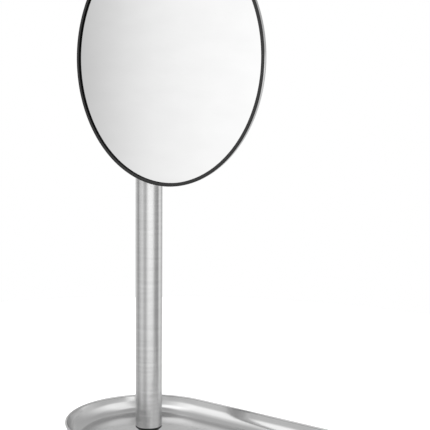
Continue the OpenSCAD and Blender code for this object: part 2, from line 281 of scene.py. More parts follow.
def stadium_path(near_y, far_y, arc_segments=72, straight_segments=24):
    """Spine points and outward directions once round a stadium, anticlockwise from its near end's +X side.

    A rim at distance d from the spine runs through spine + d times the direction.
    """
    half_turn = np.linspace(0, math.pi, arc_segments + 1)
    down = np.linspace(near_y, far_y, straight_segments + 1)[1:-1]
    angle = np.concatenate([half_turn, np.full(len(down), math.pi), half_turn + math.pi,
                            np.full(len(down), 2 * math.pi)])
    spine_y = np.concatenate([np.full(len(half_turn), near_y), down,
                              np.full(len(half_turn), far_y), down[::-1]])
    spine = np.column_stack([np.zeros(len(angle)), spine_y, np.zeros(len(angle))])
    outward = np.column_stack([np.cos(angle), np.sin(angle), np.zeros(len(angle))])
    return spine, outward


def around_stadium(name, outline, path, hole=0.0):
    """An outline (distance from the spine, height) carried round a stadium.

    Where hole is set, the outline's first and last points are moved on to a circle of that radius round
    the column's axis, each in its own direction, so the floor runs from the circle out to the wall.
    """
    spine, outward = path
    outline = np.asarray(outline)
    points = spine + outline[:, :1, None] * outward
    points[..., 2] += outline[:, 1, None]
    if hole:
        for row in (0, -1):
            flat = points[row, :, :2]
            points[row, :, :2] = hole * flat / np.linalg.norm(flat, axis=1)[:, None]
    return surface(name, points, wrap_rows=bool(hole))


# ---------------------------------------------------------------- nodes of the materials

def linear(hex_code):
    """Linear colour of an sRGB hex value."""
    srgb = np.array([int(hex_code[i:i + 2], 16) for i in (1, 3, 5)]) / 255
    light = np.where(srgb <= 0.04045, srgb / 12.92, ((srgb + 0.055) / 1.055) ** 2.4)
    return (*light, 1.0)


def add(tree, kind, inputs=(), **settings):
    """A node with its settings; each of its named inputs is linked to a socket or set to a value."""
    made = tree.nodes.new(kind)
    for key, value in settings.items():
        setattr(made, key, value)
    for key, value in dict(inputs).items():
        if isinstance(value, bpy.types.NodeSocket):
            tree.links.new(value, made.inputs[key])
        else:
            made.inputs[key].default_value = value
    return made


def new_finish(name):
    """An empty material with its node tree, and the Object coordinates of the piece it is on."""
    made = bpy.data.materials.new(name)
    made.use_nodes = True
    made.node_tree.nodes.clear()
    where = add(made.node_tree, "ShaderNodeTexCoord").outputs["Object"]
    return made, made.node_tree, where


def close_finish(made, shader):
    """Links the shader to the material's output."""
    add(made.node_tree, "ShaderNodeOutputMaterial", {"Surface": shader.outputs[0]})
    return made


def grain(tree, where, size_mm, stretch=(1, 1, 1), detail=2.0, roughness=0.5):
    """Noise whose features are about size_mm across, shortened along each axis by stretch."""
    scaled = add(tree, "ShaderNodeMapping", {"Vector": where, "Scale": stretch}).outputs[0]
    return add(tree, "ShaderNodeTexNoise", {
        "Vector": scaled, "Scale": 1 / (size_mm * MM), "Detail": detail, "Roughness": roughness,
    }).outputs["Fac"]


def between(tree, share, low, high, low_at=0.3, high_at=0.7):
    """A number that goes from low to high as share goes from low_at to high_at."""
    return add(tree, "ShaderNodeMapRange", {
        "Value": share, "From Min": low_at, "From Max": high_at, "To Min": low, "To Max": high,
    }).outputs[0]


def mix_colour(tree, share, dark, light):
    """Two hex colours mixed by a share of 0 to 1."""
    return add(tree, "ShaderNodeMix", {
        0: share, 6: linear(dark), 7: linear(light),
    }, data_type="RGBA").outputs[2]


# ---------------------------------------------------------------- finishes

def pressed_stainless(colour, dark):
    """Pressed 18/10 stainless sheet, satin polished: a soft, slightly cloudy mirror with a fine haze."""
    made, tree, where = new_finish("Satin pressed stainless steel")
    clouds = grain(tree, where, 28, detail=3)
    haze = grain(tree, where, 0.9, detail=3)
    bump = add(tree, "ShaderNodeBump", {"Height": haze, "Strength": 0.05, "Distance": 0.0002})
    shader = add(tree, "ShaderNodeBsdfPrincipled", {
        "Base Color": mix_colour(tree, between(tree, clouds, 0, 1), dark, colour),
        "Metallic": 1.0,
        "Roughness": between(tree, haze, 0.12, 0.17),
        "Normal": bump.outputs[0],
    })
    return close_finish(made, shader)


def brushed_stainless(colour, dark, line_mm):
    """Stainless tube brushed round its girth: hairlines spread the light up and down, not sideways."""
    made, tree, where = new_finish("Brushed stainless tube")
    fine = grain(tree, where, line_mm, stretch=(0.03, 0.03, 1.0), detail=4, roughness=0.7)
    wide = grain(tree, where, 5 * line_mm, stretch=(0.05, 0.05, 1.0), detail=2)
    lines = add(tree, "ShaderNodeMath", {0: fine, 1: wide}, operation="ADD").outputs[0]
    half = add(tree, "ShaderNodeMath", {0: lines, 1: 0.5}, operation="MULTIPLY").outputs[0]
    bump = add(tree, "ShaderNodeBump", {"Height": fine, "Strength": 0.06, "Distance": 0.0001})
    tangent = add(tree, "ShaderNodeTangent", direction_type="UV_MAP", uv_map="UVMap")
    shader = add(tree, "ShaderNodeBsdfPrincipled", {
        "Base Color": mix_colour(tree, between(tree, half, 0, 1, 0.35, 0.65), dark, colour),
        "Metallic": 1.0,
        "Roughness": between(tree, half, 0.2, 0.27),
        "Anisotropic": 0.8,
        "Anisotropic Rotation": 0.25,
        "Tangent": tangent.outputs[0],
        "Normal": bump.outputs[0],
    })
    return close_finish(made, shader)


def turned_metal(name, colour, dark, roughness, grit_mm=0.5):
    """Turned or plated metal: faint tool marks and a haze that varies a little."""
    made, tree, where = new_finish(name)
    marks = grain(tree, where, grit_mm, detail=3)
    patches = grain(tree, where, 6, detail=2)
    bump = add(tree, "ShaderNodeBump", {"Height": marks, "Strength": 0.08, "Distance": 0.0001})
    shader = add(tree, "ShaderNodeBsdfPrincipled", {
        "Base Color": mix_colour(tree, between(tree, patches, 0, 1), dark, colour),
        "Metallic": 1.0,
        "Roughness": between(tree, marks, roughness, roughness + 0.1),
        "Normal": bump.outputs[0],
    })
    return close_finish(made, shader)


def moulded(name, colour, dark, low, high, grit_mm=0.4, depth=0.05, coat=0.0):
    """Moulded plastic, rubber or foam: a fine grain in the skin, and slightly uneven gloss."""
    made, tree, where = new_finish(name)
    skin = grain(tree, where, grit_mm, detail=3)
    flow = grain(tree, where, 12, detail=2)
    bump = add(tree, "ShaderNodeBump", {"Height": skin, "Strength": depth, "Distance": 0.0002})
    shader = add(tree, "ShaderNodeBsdfPrincipled", {
        "Base Color": mix_colour(tree, between(tree, flow, 0, 1), dark, colour),
        "Roughness": between(tree, skin, low, high),
        "Coat Weight": coat,
        "Normal": bump.outputs[0],
    })
    return close_finish(made, shader)


def bezel_plastic(colour, dark, wall):
    """Satin black ABS whose inner wall, up to a distance in mm along the map, is left matt."""
    blend = 0.3
    made, tree, where = new_finish("Satin black ABS, matt inside")
    skin = grain(tree, where, 0.4, detail=3)
    flow = grain(tree, where, 12, detail=2)
    bump = add(tree, "ShaderNodeBump", {"Height": skin, "Strength": 0.04, "Distance": 0.0002})
    along = add(tree, "ShaderNodeSeparateXYZ", {
        0: add(tree, "ShaderNodeUVMap", uv_map="UVMap").outputs[0]}).outputs["Y"]
    face = between(tree, along, 0, 1, (wall - blend) * MM, wall * MM)
    gloss = between(tree, skin, 0.2, 0.26)
    shader = add(tree, "ShaderNodeBsdfPrincipled", {
        "Base Color": mix_colour(tree, between(tree, flow, 0, 1), dark, colour),
        "Roughness": add(tree, "ShaderNodeMix", {0: face, 2: 0.7, 3: gloss}).outputs[0],
        "Specular IOR Level": between(tree, face, 0.03, 0.6, 0, 1),
        "Normal": bump.outputs[0],
    })
    return close_finish(made, shader)


def silvered_glass(colour, dark):
    """Back-silvered float glass: a clean mirror with the faintest haze from wiping."""
    made, tree, where = new_finish("Silvered float glass")
    wipes = grain(tree, where, 30, stretch=(1, 1, 2.5), detail=4)
    shader = add(tree, "ShaderNodeBsdfPrincipled", {
        "Base Color": mix_colour(tree, between(tree, wipes, 0, 1), dark, colour),
        "Metallic": 1.0,
        "Roughness": between(tree, wipes, 0.0, 0.02),
    })
    return close_finish(made, shader)


FINISHES = {
    "stainless": lambda looks: pressed_stainless("#D2D2D2", "#CDCDCD"),
    "brushed_tube": lambda looks: brushed_stainless("#D4D4D4", "#C6C6C6", looks.brush_line),
    "ballast_steel": lambda looks: turned_metal("Zinc plated ballast plate", "#8E8F90", "#848586", 0.42, 1.0),
    "plated_steel": lambda looks: turned_metal("Bright zinc plated steel", "#CFCFD0", "#C4C4C6", 0.2),
    "bare_aluminium": lambda looks: turned_metal("Turned aluminium", "#D5D6D8", "#CACBCD", 0.28),
    "black_anodised": lambda looks: turned_metal("Black anodised aluminium", "#2A2A2B", "#232324", 0.34),
    "black_plastic": lambda looks: moulded("Satin black ABS", "#0C0C0C", "#080808", 0.27, 0.33),
    "white_nylon": lambda looks: moulded("Natural nylon", "#E2DFD4", "#D9D6CA", 0.45, 0.55),
    "rubber_pad": lambda looks: moulded("Black rubber", "#1A1A1A", "#141414", 0.7, 0.85, 0.6, 0.3),
    "foam_tape": lambda looks: moulded("White foam tape", "#E0E0DE", "#D6D6D4", 0.85, 0.95, 0.5, 0.4),
    "silvered_glass": lambda looks: silvered_glass("#F6F6F6", "#F3F3F3"),
    "bezel": lambda looks: bezel_plastic("#0A0A0A", "#070707", 1.4),
}
made_finishes = {}


def paint(piece, slot):
    """Gives a piece the finish of one of the record's slots, made once and shared."""
    if slot not in made_finishes:
        made_finishes[slot] = FINISHES[slot](bpy.context.scene.mirror_looks)
    piece.data.materials.clear()
    piece.data.materials.append(made_finishes[slot])
    return piece


def settle(piece, body, slot, *nodes, finish=None):
    """Paints a finished piece, rides it on its body and lets it stand for nodes of the frame."""
    paint(piece, finish or slot)
    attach(piece, body)
    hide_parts(*nodes)
    return piece


# ---------------------------------------------------------------- sizes and colours to change

def length(name, description, default):
    """A length property in millimetres."""
    return bpy.props.FloatProperty(name=name, description=description + ", in mm", default=default, min=0.0)


class MirrorTraySizes(bpy.types.PropertyGroup):
    """Sizes of the tray and plinth that the frame's boxes don't give"""
    sheet: length("Sheet", "Thickness of the tray's sheet", 1.0)
    bead: length("Bead", "Radius of the rolled rim", 0.8)
    cove: length("Cove", "Inside radius between wall and floor", 11.0)
    lean: bpy.props.FloatProperty(
        name="Lean", description="How far the wall leans outwards", default=math.radians(15),
        subtype="ANGLE", unit="ROTATION")
    bore: length("Bore", "Radius of the swivel's hole in the floor", 5.5)
    plinth_bore: length("Plinth bore", "Radius of the hole in the plinth's cover", 9.0)
    cover_wall: length("Cover wall", "Thickness of the plinth cover", 1.2)
    rib_pitch: length("Rib pitch", "Distance between the pad's ribs", 4.0)


class MirrorColumnSizes(bpy.types.PropertyGroup):
    """Sizes of the column that the frame's boxes don't give"""
    wall: length("Tube wall", "Wall of the outer tube", 1.0)
    post_wall: length("Post wall", "Wall of the inner post", 1.5)
    washer_bore: length("Washer bore", "Radius of the slide washer's hole", 4.1)
    key_width: length("Key width", "Width of the post's keyway", 3.2)
    key_depth: length("Key depth", "Depth of the post's keyway", 0.9)
    tube_edge: length("Tube edge", "Rounding of the tube's cut ends", 0.2)
    pin: length("Pin", "Radius of the tilt pin's shank", 4.0)
    pin_socket: length("Pin socket", "Half the width across the flats of the pin's socket", 2.0)
    flute_depth: length("Flute depth", "Depth of the thumb nut's flutes", 0.6)
    flutes: bpy.props.IntProperty(name="Flutes", description="Flutes round the thumb nut", default=20, min=6)


class MirrorHeadSizes(bpy.types.PropertyGroup):
    """Sizes of the mirror's head that the frame's boxes don't give"""
    lip: length("Lip", "Width of the bezel's front lip", 2.5)
    lip_round: length("Lip rounding", "Rounding of the lip's outer edge", 0.4)
    shell_wall: length("Shell wall", "Sheet of the back shell", 0.7)
    shell_edge: length("Shell edge", "Radius of the back shell's rolled edge", 5.8)
    shell_slope: bpy.props.FloatProperty(
        name="Shell slope", description="Slope of the back shell", default=math.radians(4),
        subtype="ANGLE", unit="ROTATION")
    shell_blend: length("Shell blend", "Radius between the shell's flat middle and its slope", 25.0)
    lug: length("Lug", "Radius of the lug's barrel round the pin", 8.0)
    lug_bore: length("Lug bore", "Radius of the lug's hole for the pin", 4.05)
    lug_width: length("Lug width", "Length of the lug's barrel along the pin", 22.0)
    foot: length("Foot", "Radius of the lug's round foot", 18.0)
    foot_sheet: length("Foot thickness", "Thickness of the lug's round foot", 2.0)
    screw_socket: length("Screw socket", "Half the width across the flats of the screws' sockets", 1.0)


class MirrorLooks(bpy.types.PropertyGroup):
    """Finish and studio values"""
    brush_line: length("Brush line", "Spacing of the tube's hairlines, drawn coarse enough to show", 0.5)
    floor_colour: bpy.props.FloatVectorProperty(
        name="Floor", description="Colour of the studio floor", subtype="COLOR", size=4,
        default=linear("#F4F4F4"), min=0, max=1)
    lens: bpy.props.FloatProperty(name="Lens", description="Focal length in mm", default=88.1, min=10)


# ---------------------------------------------------------------- base

class MIRROR_OT_tray(bpy.types.Operator):
    """Pressed tray with a coved wall and a rolled rim, carried round a stadium"""
    bl_idname = "mirror.tray"
    bl_label = "Tray"

    def execute(self, context):
        sizes = context.scene.mirror_tray
        low, high = (np.array(corner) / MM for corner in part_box("tray"))
        path = stadium_path(high[1] - high[0], low[1] + high[0])
        bottom, rim_z = low[2], high[2]
        floor_z = bottom + sizes.sheet
        bead_at = np.array([high[0] - sizes.bead, rim_z - sizes.bead])
        lean = math.degrees(sizes.lean)
        inward = np.array([-math.cos(sizes.lean), math.sin(sizes.lean)])
        cove_z = floor_z + sizes.cove
        cove_x = (cove_z * inward[1] - bead_at @ inward - sizes.sheet / 2 - sizes.cove) / -inward[0]
        meets = math.degrees(math.asin(sizes.sheet / 2 / sizes.bead))
        outline = np.concatenate([
            [[INMOST, bottom], [cove_x - 1, bottom]],
            arc([cove_x, cove_z], sizes.cove + sizes.sheet, -90, -lean),
            arc(bead_at, sizes.bead, meets - lean - 90, 270 - lean - meets),
            arc([cove_x, cove_z], sizes.cove, -lean, -90),
            [[cove_x - 1, floor_z], [INMOST, floor_z]],
        ])
        settle(around_stadium("tray_sheet", outline, path, sizes.bore), "base", "stainless", "tray")
        return {"FINISHED"}


class MIRROR_OT_plinth(bpy.types.Operator):
    """Plastic cover round the ballast, and the ribbed rubber pad under it"""
    bl_idname = "mirror.plinth"
    bl_label = "Plinth"

    def execute(self, context):
        sizes = context.scene.mirror_tray
        low, high = (np.array(corner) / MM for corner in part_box("base_cover"))
        path = stadium_path(high[1] - high[0], low[1] + high[0])
        wall, floor_top = high[0] - sizes.cover_wall, low[2] + sizes.cover_wall
        floor_end = wall - 20
        section = rounded([
            (floor_end, low[2], 0), (high[0], low[2], 0.6), (high[0], high[2], 0.15),
            (wall, high[2], 0.15), (wall, floor_top, 0.3), (floor_end, floor_top, 0),
        ])
        outline = np.concatenate([[[INMOST, low[2]]], section, [[INMOST, floor_top]]])
        cover = around_stadium("plinth_cover", outline, path, sizes.plinth_bore)
        settle(cover, "base", "black_plastic", "base_cover")
        self.pad(sizes)
        return {"FINISHED"}

    def pad(self, sizes):
        """Rubber slab whose underside has grooves that follow its outline."""
        low, high = (np.array(corner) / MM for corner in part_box("non_slip_pad"))
        path = stadium_path(high[1] - high[0], low[1] + high[0])
        groove, depth, slant = 1.0, 0.35, 0.2
        first, border, corner = 6, 4, 3
        starts = np.arange(first, high[0] - border, sizes.rib_pitch)
        steps = np.array([[0, 0], [slant, depth], [groove - slant, depth], [groove, 0]])
        under = (starts[:, None, None] * [1, 0] + steps).reshape(-1, 2) + [0, low[2]]
        edge = rounded([(high[0] - corner, low[2], 0), (high[0], low[2], 0.25), (high[0], high[2], 0.25),
                        (high[0] - corner, high[2], 0)])
        outline = np.concatenate([[[0, low[2]]], under, edge, [[0, high[2]]]])
        settle(around_stadium("ribbed_pad", outline, path), "base", "rubber_pad", "non_slip_pad")


# ---------------------------------------------------------------- column

class MIRROR_OT_post(bpy.types.Operator):
    """Fixed post with its keyway, the collar round its foot and the washer they turn on"""
    bl_idname = "mirror.post"
    bl_label = "Post"

    def execute(self, context):
        sizes = context.scene.mirror_column
        low, high, outer = reach("thrust_washer", UPRIGHT)
        settle(lathe("slide_washer", ring_outline(sizes.washer_bore, outer, low, high), UPRIGHT),
               "base", "black_plastic", "thrust_washer")
        low, high, post_r = reach("inner_post", UPRIGHT)
        foot_low, foot_high, foot_r = reach("foot_collar", UPRIGHT)
        settle(lathe("post_collar", ring_outline(post_r, foot_r, foot_low, foot_high, 0.2), UPRIGHT),
               "post", "black_anodised", "foot_collar")
        post = lathe("keyed_post", ring_outline(post_r - sizes.post_wall, post_r, low, high), UPRIGHT)
        centre = post_r - sizes.key_depth + sizes.key_width / 2
        corner = sizes.key_width / math.sqrt(2)
        past_top = high + OVERCUT
        key = lathe("key", [[0, foot_high], [corner, foot_high], [corner, past_top], [0, past_top]],
                    Place(-centre * ON_DISC.z, -ON_DISC.z, ON_PIN.z, UPRIGHT.z), QUARTERS)
        settle(drilled(post, [key]), "post", "black_anodised", "inner_post")
        return {"FINISHED"}


class MIRROR_OT_tube(bpy.types.Operator):
    """Brushed tube with its bores, the tapered bush at its foot and the cap on top"""
    bl_idname = "mirror.tube"
    bl_label = "Tube"

    def execute(self, context):
        sizes = context.scene.mirror_column
        seat, tube_top, tube_r = reach("outer_tube", UPRIGHT)
        bore_r = tube_r - sizes.wall
        outline = ring_outline(bore_r, tube_r, seat, tube_top, sizes.tube_edge)
        tube = lathe("brushed_tube", outline, UPRIGHT, TUBE_SEGMENTS)
        settle(drilled(tube, [self.screw_hole(tube_r)]), "column", "brushed_tube", "outer_tube")
        low, top, radius = reach("end_bush", UPRIGHT)
        post_r, collar_r = reach("inner_post", UPRIGHT)[2], reach("foot_collar", UPRIGHT)[2]
        slide_r = post_r + 0.05
        taper_top, step_in, step_up = seat - 1.6, 0.6, 0.5
        outline = rounded([
            (slide_r, low, 0.1), (collar_r, low, 0.2), (radius - step_in, taper_top, 0.3),
            (radius, taper_top + step_up, 0.2), (radius, seat, 0), (bore_r, seat, 0),
            (bore_r, top, 0.2), (slide_r, top, 0.2),
        ])
        settle(lathe("tapered_bush", outline, UPRIGHT), "column", "black_plastic", "end_bush")
        low, high, radius = reach("top_cap", UPRIGHT)
        chamfer = 0.9
        outline = np.concatenate([[[0, low]], rounded([
            (radius - 2, low, 0), (radius, low, 0), (radius - chamfer, high, 0.5), (radius - 4, high, 0),
        ]), [[0, high]]])
        cap = lathe("tube_cap", outline, UPRIGHT)
        settle(cap, "column", "brushed_tube", "top_cap", finish="stainless")
        return {"FINISHED"}

    def screw_hole(self, tube_r):
        """A plug as wide as the set screw, from inside the tube's wall to outside it."""
        screw = cloud("set_screw")
        middle = (screw.min(0) + screw.max(0)) / 2
        way_in = Place(middle[2] * UPRIGHT.z, UPRIGHT.z, ON_PIN.z, -ON_DISC.z)
        _, inside, screw_r = reach("set_screw", way_in)
        start, end = inside - 2 * OVERCUT, tube_r + OVERCUT
        return lathe("plug", [[0, start], [screw_r, start], [screw_r, end], [0, end]], way_in, SMALL_SEGMENTS)


class MIRROR_OT_tilt_pin(bpy.types.Operator):
    """Everything threaded on the tilt pin: pin, spacer, washers and fluted thumb nut"""
    bl_idname = "mirror.tilt_pin"
    bl_label = "Tilt pin"

    def execute(self, context):
        sizes = context.scene.mirror_column
        low, high, head_r = reach("tilt_pin", ON_PIN)
        tube_r = reach("outer_tube", UPRIGHT)[2]
        pin_r, socket = sizes.pin, sizes.pin_socket
        sunk, snug, loose = 0.1, 0.05, 0.2
        saddle = math.sqrt(tube_r ** 2 - head_r ** 2) - sunk
        outline = np.array([
            [0, low + 1.6], [socket, low + 1.6], [socket, low + 0.15], [socket + 0.15, low],
            [head_r - 1.2, low], [head_r - 0.35, low + 0.35], [head_r, low + 1.1], [head_r, -saddle],
            [pin_r, -saddle], [pin_r, high], [0, high],
        ])
        angles = full_turn(SEGMENTS)
        extra = hexagonal(outline, slice(1, 4), socket, angles)
        pin = lathe("pin_with_socket", outline, ON_PIN, angles, extra)
        settle(pin, "column", "plated_steel", "tilt_pin")
        _, high, radius = reach("spacer_sleeve", ON_PIN)
        settle(lathe("spacer", ring_outline(pin_r, radius, saddle, high, 0.3), ON_PIN),
               "column", "brushed_tube", "spacer_sleeve", finish="stainless")
        height = levels("friction_washers", ON_PIN)
        radius = reach("friction_washers", ON_PIN)[2]
        settle(joined("nylon_washers", [
            lathe("washer", ring_outline(pin_r + snug, radius, height[i], height[i + 1], 0.12), ON_PIN)
            for i in (0, 2)]), "column", "white_nylon", "friction_washers")
        low, high, radius = reach("spring_washer", ON_PIN)
        settle(lathe("dished_washer", ring_outline(pin_r + loose, radius, low, high, 0.2), ON_PIN),
               "column", "plated_steel", "spring_washer")
        self.thumb_nut(sizes, pin_r)
        return {"FINISHED"}

    def thumb_nut(self, sizes, pin_r):
        """Turned knob: flutes are dips in its radius, deepest where cos(count x angle) is 1."""
        low, high, radius = reach("thumb_nut", ON_PIN)
        dish, dish_depth, thread = radius - 3.2, 0.5, 2
        grip_start, grip_blend, sharpness = radius - 1.4, 0.8, 0.6
        outline = np.concatenate([
            [[0, high - thread], [pin_r, high - thread], [pin_r, low + 0.2], [pin_r + 0.2, low]],
            rounded([(pin_r + 1, low, 0), (radius - 1, low, 0.3), (radius, low + 1, 0.5),
                     (radius, high - 1, 0.5), (radius - 1, high, 0.3), (dish, high, 0.15),
                     (dish - 0.5, high - dish_depth, 0.2), (pin_r, high - dish_depth, 0)]),
            [[0, high - dish_depth]],
        ])
        angles = full_turn(12 * sizes.flutes)
        dips = np.clip(np.cos(sizes.flutes * angles), 0, 1) ** sharpness
        gripped = np.clip((outline[:, :1] - grip_start) / grip_blend, 0, 1)
        nut = lathe("fluted_nut", outline, ON_PIN, angles, -sizes.flute_depth * gripped * dips)
        settle(nut, "column", "black_anodised", "thumb_nut")


# ---------------------------------------------------------------- head

class MIRROR_OT_mirror(bpy.types.Operator):
    """Round mirror: bezel with its lip, recessed glass and spun back shell"""
    bl_idname = "mirror.mirror"
    bl_label = "Mirror"

    def execute(self, context):
        sizes = context.scene.mirror_head
        back, front, glass_r = reach("mirror_glass", ON_DISC)
        edge, gap, play = 0.2, 0.05, 0.1
        outline = np.concatenate([[[0, back]], rounded([
            (glass_r - 3, back, 0), (glass_r, back, 0.15), (glass_r, front, 0.15), (glass_r - 3, front, 0),
        ]), [[0, front]]])
        disc = lathe("mirror_disc", outline, ON_DISC, TUBE_SEGMENTS)
        settle(disc, "head", "silvered_glass", "mirror_glass")
        _, face, mirror_r = reach("bezel", ON_DISC)
        seam = reach("back_shell", ON_DISC)[1]
        lip_r = mirror_r - sizes.lip
        shell_at = np.array([mirror_r - sizes.shell_edge, seam])
        skirt_r = sizes.shell_edge - sizes.shell_wall - play
        skirt_end = -math.degrees(math.asin((seam - back) / skirt_r))
        outline = np.concatenate([
            [[lip_r, front]],
            arc([lip_r + edge, face - edge], edge, 180, 90),
            arc([mirror_r - sizes.lip_round, face - sizes.lip_round], sizes.lip_round, 90, 0),
            [[mirror_r, seam]],
            arc(shell_at, skirt_r, 0, skirt_end),
            [[glass_r + gap, back], [glass_r + gap, front]],
        ])
        ring = lathe("bezel_ring", outline, ON_DISC, RIM_SEGMENTS)
        settle(ring, "head", "black_plastic", "bezel", finish="bezel")
        self.shell(sizes, shell_at)
        return {"FINISHED"}

    def shell(self, sizes, rim_at):
        """Spun dish: flat in the middle, a shallow cone, then a rolled edge that is an arc round rim_at."""
        back = reach("back_shell", ON_DISC)[0]
        slope = sizes.shell_slope
        end = 90 - math.degrees(slope)
        inner_edge = sizes.shell_edge - sizes.shell_wall
        leaves = np.array([math.sin(slope), -math.cos(slope)])
        edge_out, edge_in = rim_at + sizes.shell_edge * leaves, rim_at + inner_edge * leaves
        flat_r = edge_out[0] - (edge_out[1] - back) / math.tan(slope)
        inner_back = edge_in[1] - (edge_in[0] - flat_r) * math.tan(slope)
        soft = sizes.shell_blend
        blend = soft * math.tan(slope / 2)
        outline = np.concatenate([
            [[0, back], [flat_r - blend - 1, back]],
            arc([flat_r - blend, back + soft], soft, -90, -end),
            arc(rim_at, sizes.shell_edge, -end, 0),
            arc(rim_at, inner_edge, 0, -end),
            [[flat_r, inner_back], [0, inner_back]],
        ])
        dish = lathe("spun_back", outline, ON_DISC, RIM_SEGMENTS)
        settle(dish, "head", "brushed_tube", "back_shell", finish="stainless")


class MIRROR_OT_tilt_lug(bpy.types.Operator):
    """Cast lug that carries the mirror on the pin, with its round foot and four socket screws"""
    bl_idname = "mirror.tilt_lug"
    bl_label = "Tilt lug"

    def execute(self, context):
        sizes = context.scene.mirror_head
        front = reach("tilt_lug", ON_DISC)[1]
        seat = front - sizes.foot_sheet
        sunk, foot_r, half = 0.6, sizes.foot, sizes.lug_width / 2
        ends = np.array([-half, half]) + (ON_DISC.origin - ON_PIN.origin) @ ON_PIN.z
        block = self.block(sizes.lug, seat + sunk, sizes.lug_bore, ends)
        outline = np.concatenate([[[0, front]], rounded([
            (foot_r - 4, front, 0), (foot_r, front, 0.2), (foot_r, seat, 0.8), (foot_r - 5, seat, 0),
        ]), [[0, seat]]])
        lug = joined("cast_lug", [block, lathe("foot", outline, ON_DISC)])
        settle(lug, "head", "bare_aluminium", "tilt_lug")
        self.screws(seat, sizes.screw_socket)
        return {"FINISHED"}

    def block(self, radius, front, bore_r, ends):
        """A barrel round the pin that runs forwards into the foot.

        Across the pin its outline is half a circle round the axis and two straight sides that flare near
        the foot. Along the pin the outline shrinks at both ends by a rounding's section, and a bore joins
        the two ends, each of its points lying in the same direction as the outline's.
        """
        flare_r, edge, short_of_level = 3.0, 0.8, 0.01
        turn = np.linspace(-math.pi / 2, -3 * math.pi / 2, 49)
        run = np.concatenate([[0.5], np.linspace(1, front, 17)])
        climbed = np.clip(run - front + flare_r, 0, flare_r - short_of_level)
        flare = flare_r - np.sqrt(flare_r ** 2 - climbed ** 2)
        across = np.linspace(-1, 1, 12)[1:-1]
        forward = np.concatenate([run[::-1], np.cos(turn) * radius, run, np.full(len(across), front)])
        upward = np.concatenate([(-radius - flare)[::-1], np.sin(turn) * radius, radius + flare,
                                 -across * (radius + flare[-1])])
        upright = upward / np.maximum(np.abs(upward), 1e-9)
        inward = np.where((forward <= 0)[:, None],
                          np.column_stack([forward, upward]) / radius,
                          np.column_stack([0 * forward, upright]))
        inward[np.arange(len(forward)) >= len(forward) - len(across)] = 0
        section = np.concatenate([
            arc([edge, ends[0] + edge], edge, 270, 180),
            arc([edge, ends[1] - edge], edge, 180, 90),
        ])
        outline = np.column_stack([forward, upward])
        rows = outline - section[:, 0, None, None] * inward
        bore = bore_r * outline / np.linalg.norm(outline, axis=1)[:, None]
        rows = np.concatenate([bore[None], rows, bore[None]])
        along = np.concatenate([[ends[0]], section[:, 1], [ends[1]]])
        points = (ON_PIN.origin + rows[..., :1] * ON_DISC.z + rows[..., 1:] * ON_DISC.x
                  + along[:, None, None] * ON_PIN.z)
        return surface("block", points)

    def screws(self, seat, socket):
        """Button-head screws with hexagon sockets, where the frame's screws are."""
        away = cloud("lug_screws") - ON_DISC.origin
        flat = np.column_stack([away @ ON_DISC.x, away @ ON_DISC.y])
        quarters = [flat[(np.sign(flat) == [i, j]).all(1)] for i in (-1, 1) for j in (-1, 1)]
        head_r = 2.7
        outline = np.concatenate([
            [[0, seat + 0.2], [socket, seat + 0.2], [socket, seat - 0.75]],
            arc([0.9, seat + 0.5], 1.8, -75, -18),
            [[head_r, seat], [head_r, seat + 0.4], [0, seat + 0.4]],
        ])
        angles = full_turn(SMALL_SEGMENTS)
        extra = hexagonal(outline, slice(1, 3), socket, angles)
        made = []
        for points in quarters:
            centre = (points.min(0) + points.max(0)) / 2
            at = Place(ON_DISC.origin + centre[0] * ON_DISC.x + centre[1] * ON_DISC.y, *ON_DISC[1:])
            made.append(lathe("screw", outline, at, angles, extra))
        settle(joined("button_screws", made), "head", "plated_steel", "lug_screws")


# ---------------------------------------------------------------- pieces that keep their frame's shape

KEPT = {
    "ballast_plate": "ballast_steel", "cover_screws": "plated_steel", "tray_studs": "plated_steel",
    "stud_nuts": "plated_steel", "swivel_bush": "white_nylon", "flat_washer": "plated_steel",
    "wave_washer": "plated_steel", "post_plug": "plated_steel", "pivot_bolt": "plated_steel",
    "top_bush": "white_nylon", "brake_rings": "rubber_pad", "stop_sleeve": "bare_aluminium",
    "pivot_block": "bare_aluminium", "set_screw": "black_anodised", "adhesive_pad": "foam_tape",
    "carrier_plate": "black_plastic",
}


class MIRROR_OT_inner_parts(bpy.types.Operator):
    """Finishes for the bushes, bolts, plates and plugs that work inside"""
    bl_idname = "mirror.inner_parts"
    bl_label = "Inner parts"

    def execute(self, context):
        for node, slot in KEPT.items():
            paint(frame["nodes"][node], slot)
        return {"FINISHED"}


# ---------------------------------------------------------------- studio

